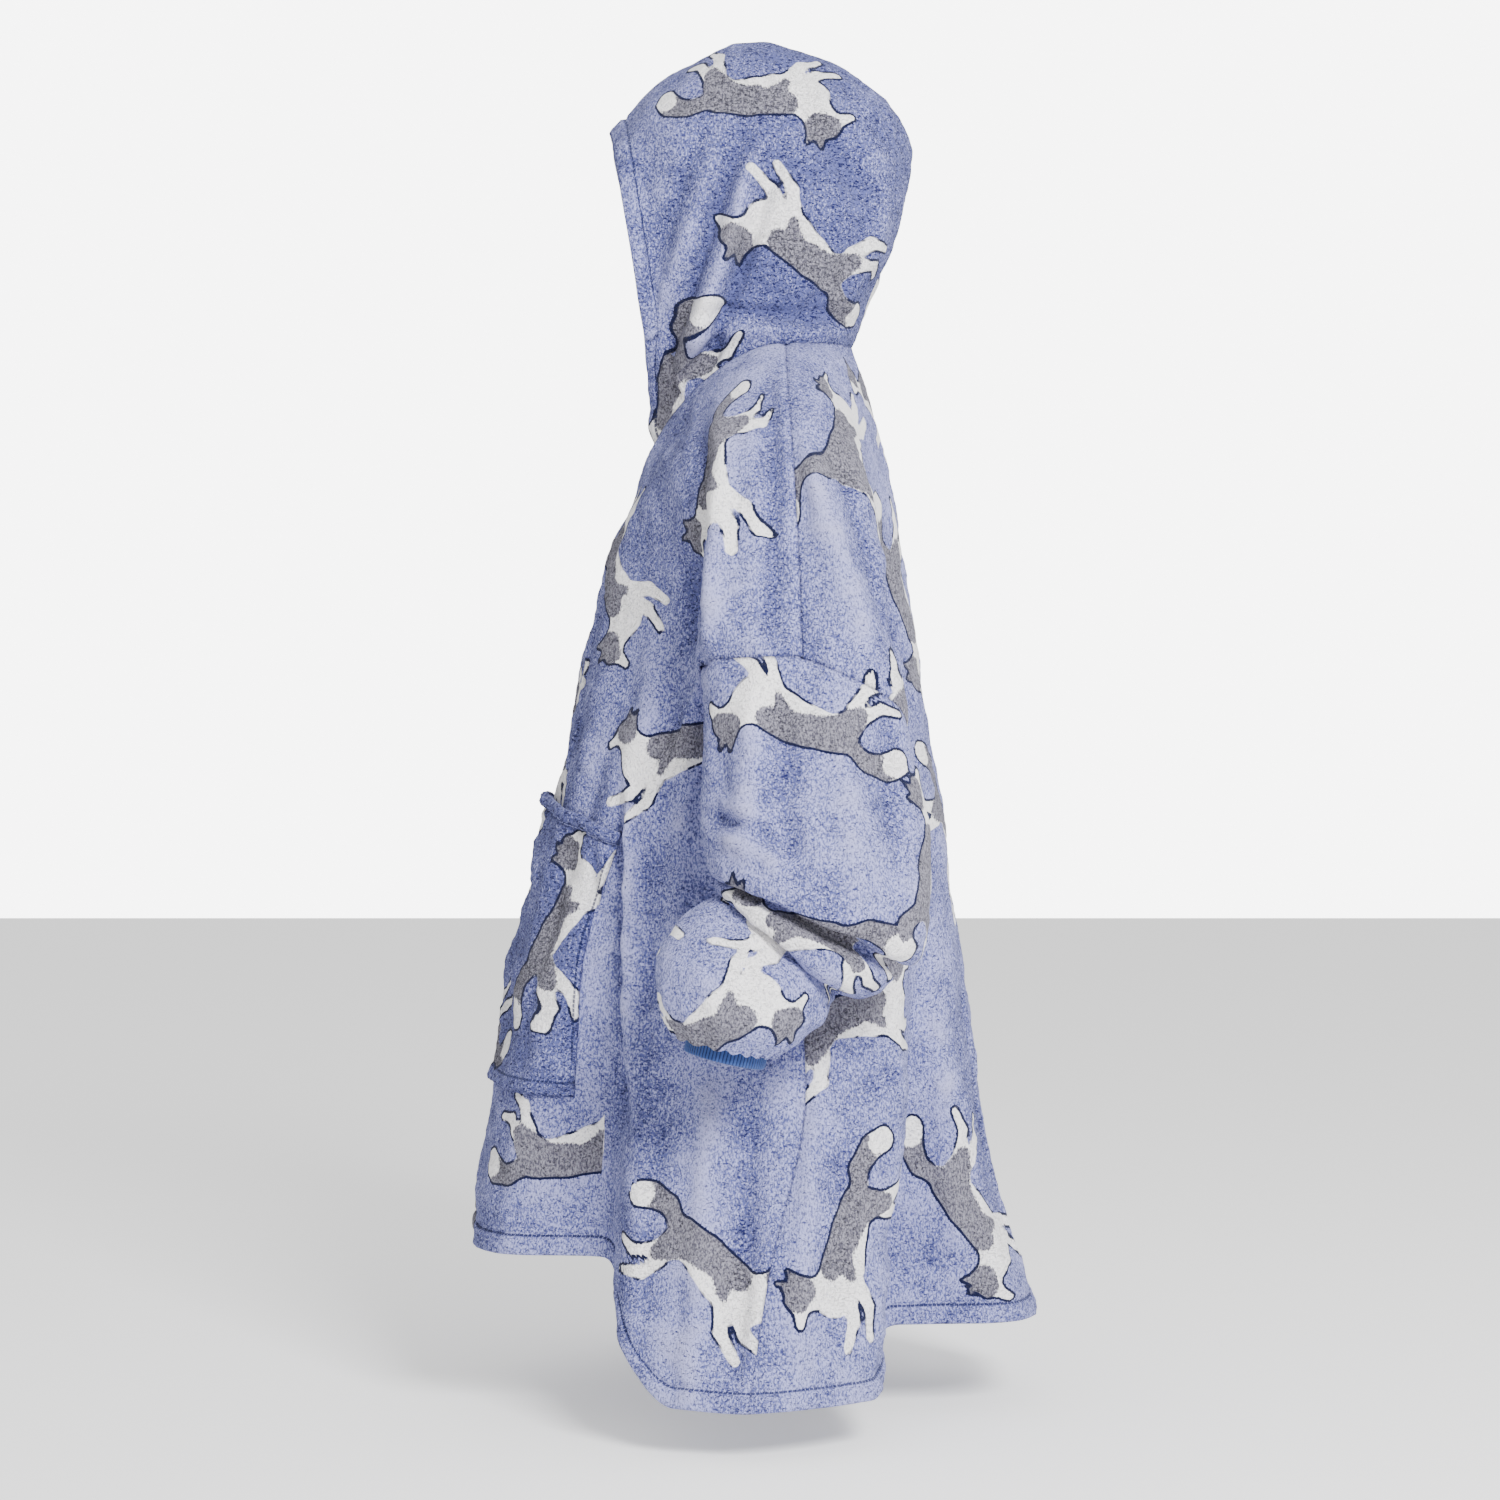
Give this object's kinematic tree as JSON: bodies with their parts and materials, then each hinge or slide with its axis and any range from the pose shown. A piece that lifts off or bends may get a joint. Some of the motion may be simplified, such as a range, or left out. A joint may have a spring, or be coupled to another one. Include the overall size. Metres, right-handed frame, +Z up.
{
  "type": "wearable blanket hoodie",
  "caption": "Oversized plush wearable blanket with a hood, drop shoulders, full sleeves gathered into ribbed cuffs and a wide front pocket, hanging as worn.",
  "frame": {"origin": "midway between the two points where the neck seam rests on the shoulders", "axes": "+Z up the standing wearer, -Y the garment's front, +X its left sleeve"},
  "size_m": [0.772, 0.5477, 1.2735],
  "materials": {
    "plush": "printed coral fleece, soft matt pile",
    "rib_knit": "fine ribbed knit, matt"
  },
  "bodies": {
    "root": {"front": "plush", "back": "plush", "sleeve_left": "plush", "hood_left": "plush", "sleeve_right": "plush", "hood_right": "plush", "pocket": "plush", "cuff_left": "rib_knit", "cuff_right": "rib_knit"}
  },
  "joints": []
}
